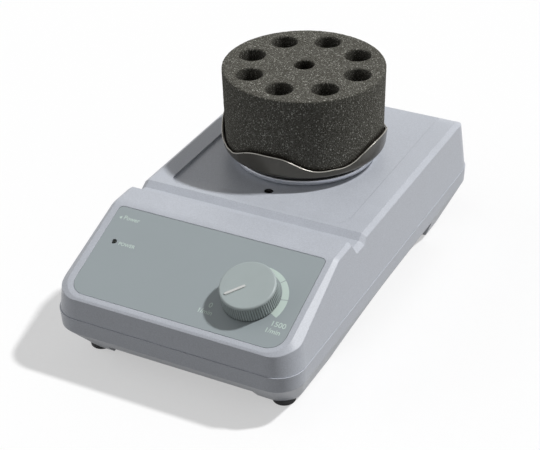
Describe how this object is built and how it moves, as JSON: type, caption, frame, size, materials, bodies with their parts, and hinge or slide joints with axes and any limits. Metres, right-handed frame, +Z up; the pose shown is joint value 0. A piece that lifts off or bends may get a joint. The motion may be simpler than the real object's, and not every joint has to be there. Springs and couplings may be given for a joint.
{
  "type": "orbital microplate mixer",
  "caption": "Bench orbital mixer: wedge-fronted case with a speed knob, an orbiting platform on a crank drive, and a round foam tube holder in a wavy dish.",
  "frame": {"origin": "centre of the case's footprint, at the height of the feet", "axes": "+X to the right seen from the front, -Y towards the control panel, +Z up"},
  "size_m": [0.15, 0.26, 0.1213],
  "materials": {
    "housing": "satin pale grey",
    "feet": "matt black",
    "screw_steel": "zinc plated",
    "overlay": "printed film",
    "lamp": "dark lens",
    "circuit_board": "solder mask",
    "dark_plastic": "moulded black",
    "shaft_steel": "turned",
    "knob": "satin grey",
    "motor_can": "black coat",
    "cast_metal": "cast and machined",
    "bush_bronze": "sintered",
    "bearing_steel": "ground",
    "platform_metal": "satin",
    "riser": "black",
    "dish": "dark satin",
    "foam": "open charcoal foam",
    "ballast_steel": "oiled plate"
  },
  "bodies": {
    "base": {"upper_housing": "housing", "lower_housing": "housing", "rubber_feet": "feet", "housing_screws": "screw_steel", "deck_screw": "screw_steel", "control_overlay": "overlay", "power_led": "lamp", "control_board": "circuit_board", "board_spacers": "dark_plastic", "board_screws": "screw_steel", "potentiometer": "dark_plastic", "pot_nut": "screw_steel", "motor": "motor_can", "bearing_plate": "cast_metal", "plate_screws": "screw_steel", "motor_screws": "screw_steel", "idler_bushes": "bush_bronze", "ballast_plate": "ballast_steel", "ballast_screws": "screw_steel", "board_posts": "dark_plastic", "power_board": "circuit_board", "power_board_screws": "screw_steel", "mains_inlet": "dark_plastic", "inlet_pins": "bush_bronze", "switch_frame": "dark_plastic", "fuse_holder": "dark_plastic"},
    "drive": {"motor_shaft": "shaft_steel", "eccentric": "shaft_steel", "crank_screw": "screw_steel", "counterweight": "shaft_steel"},
    "idler_1": {"idler_crank_1": "shaft_steel"},
    "idler_2": {"idler_crank_2": "shaft_steel"},
    "idler_3": {"idler_crank_3": "shaft_steel"},
    "platform": {"orbit_plate": "cast_metal", "main_bearing": "bearing_steel", "idler_bearings": "bearing_steel", "platform_ring": "platform_metal", "platform_screws": "screw_steel", "attachment_riser": "riser", "attachment_dish": "dish", "dish_screws": "screw_steel"},
    "foam": {"foam_insert": "foam"},
    "knob": {"speed_knob": "knob", "pot_shaft": "shaft_steel"},
    "rocker": {"rocker_button": "dark_plastic"}
  },
  "joints": [
    {"name": "drive_spin", "type": "hinge", "parent": "base", "child": "drive", "pos_m": [0, 0.043, 0.05], "axis": [0, 0, 1], "continuous": true},
    {"name": "platform_orbit", "type": "hinge", "parent": "drive", "child": "platform", "pos_m": [-0.00225, 0.043, 0.058], "axis": [0, 0, 1], "continuous": true},
    {"name": "idler_1_spin", "type": "hinge", "parent": "base", "child": "idler_1", "pos_m": [0, 0.018, 0.046], "axis": [0, 0, 1], "continuous": true},
    {"name": "idler_2_spin", "type": "hinge", "parent": "base", "child": "idler_2", "pos_m": [0.02165, 0.0555, 0.046], "axis": [0, 0, 1], "continuous": true},
    {"name": "idler_3_spin", "type": "hinge", "parent": "base", "child": "idler_3", "pos_m": [-0.02165, 0.0555, 0.046], "axis": [0, 0, 1], "continuous": true},
    {"name": "foam_lift", "type": "slide", "parent": "platform", "child": "foam", "axis": [0, 0, 1], "range_m": [0, 0.055]},
    {"name": "speed_turn", "type": "hinge", "parent": "base", "child": "knob", "pos_m": [0.036, -0.09917, 0.05615], "axis": [0, -0.3649, 0.9311], "range_deg": [-270, 0]},
    {"name": "switch_rock", "type": "hinge", "parent": "base", "child": "rocker", "pos_m": [0.01, 0.1228, 0.0394], "axis": [0, 0, 1], "range_deg": [0, 16]}
  ],
  "couplings": [
    {"joint": "platform_orbit", "follows": "drive_spin", "ratio": -1},
    {"joint": "idler_1_spin", "follows": "drive_spin", "ratio": 1},
    {"joint": "idler_2_spin", "follows": "drive_spin", "ratio": 1},
    {"joint": "idler_3_spin", "follows": "drive_spin", "ratio": 1}
  ]
}
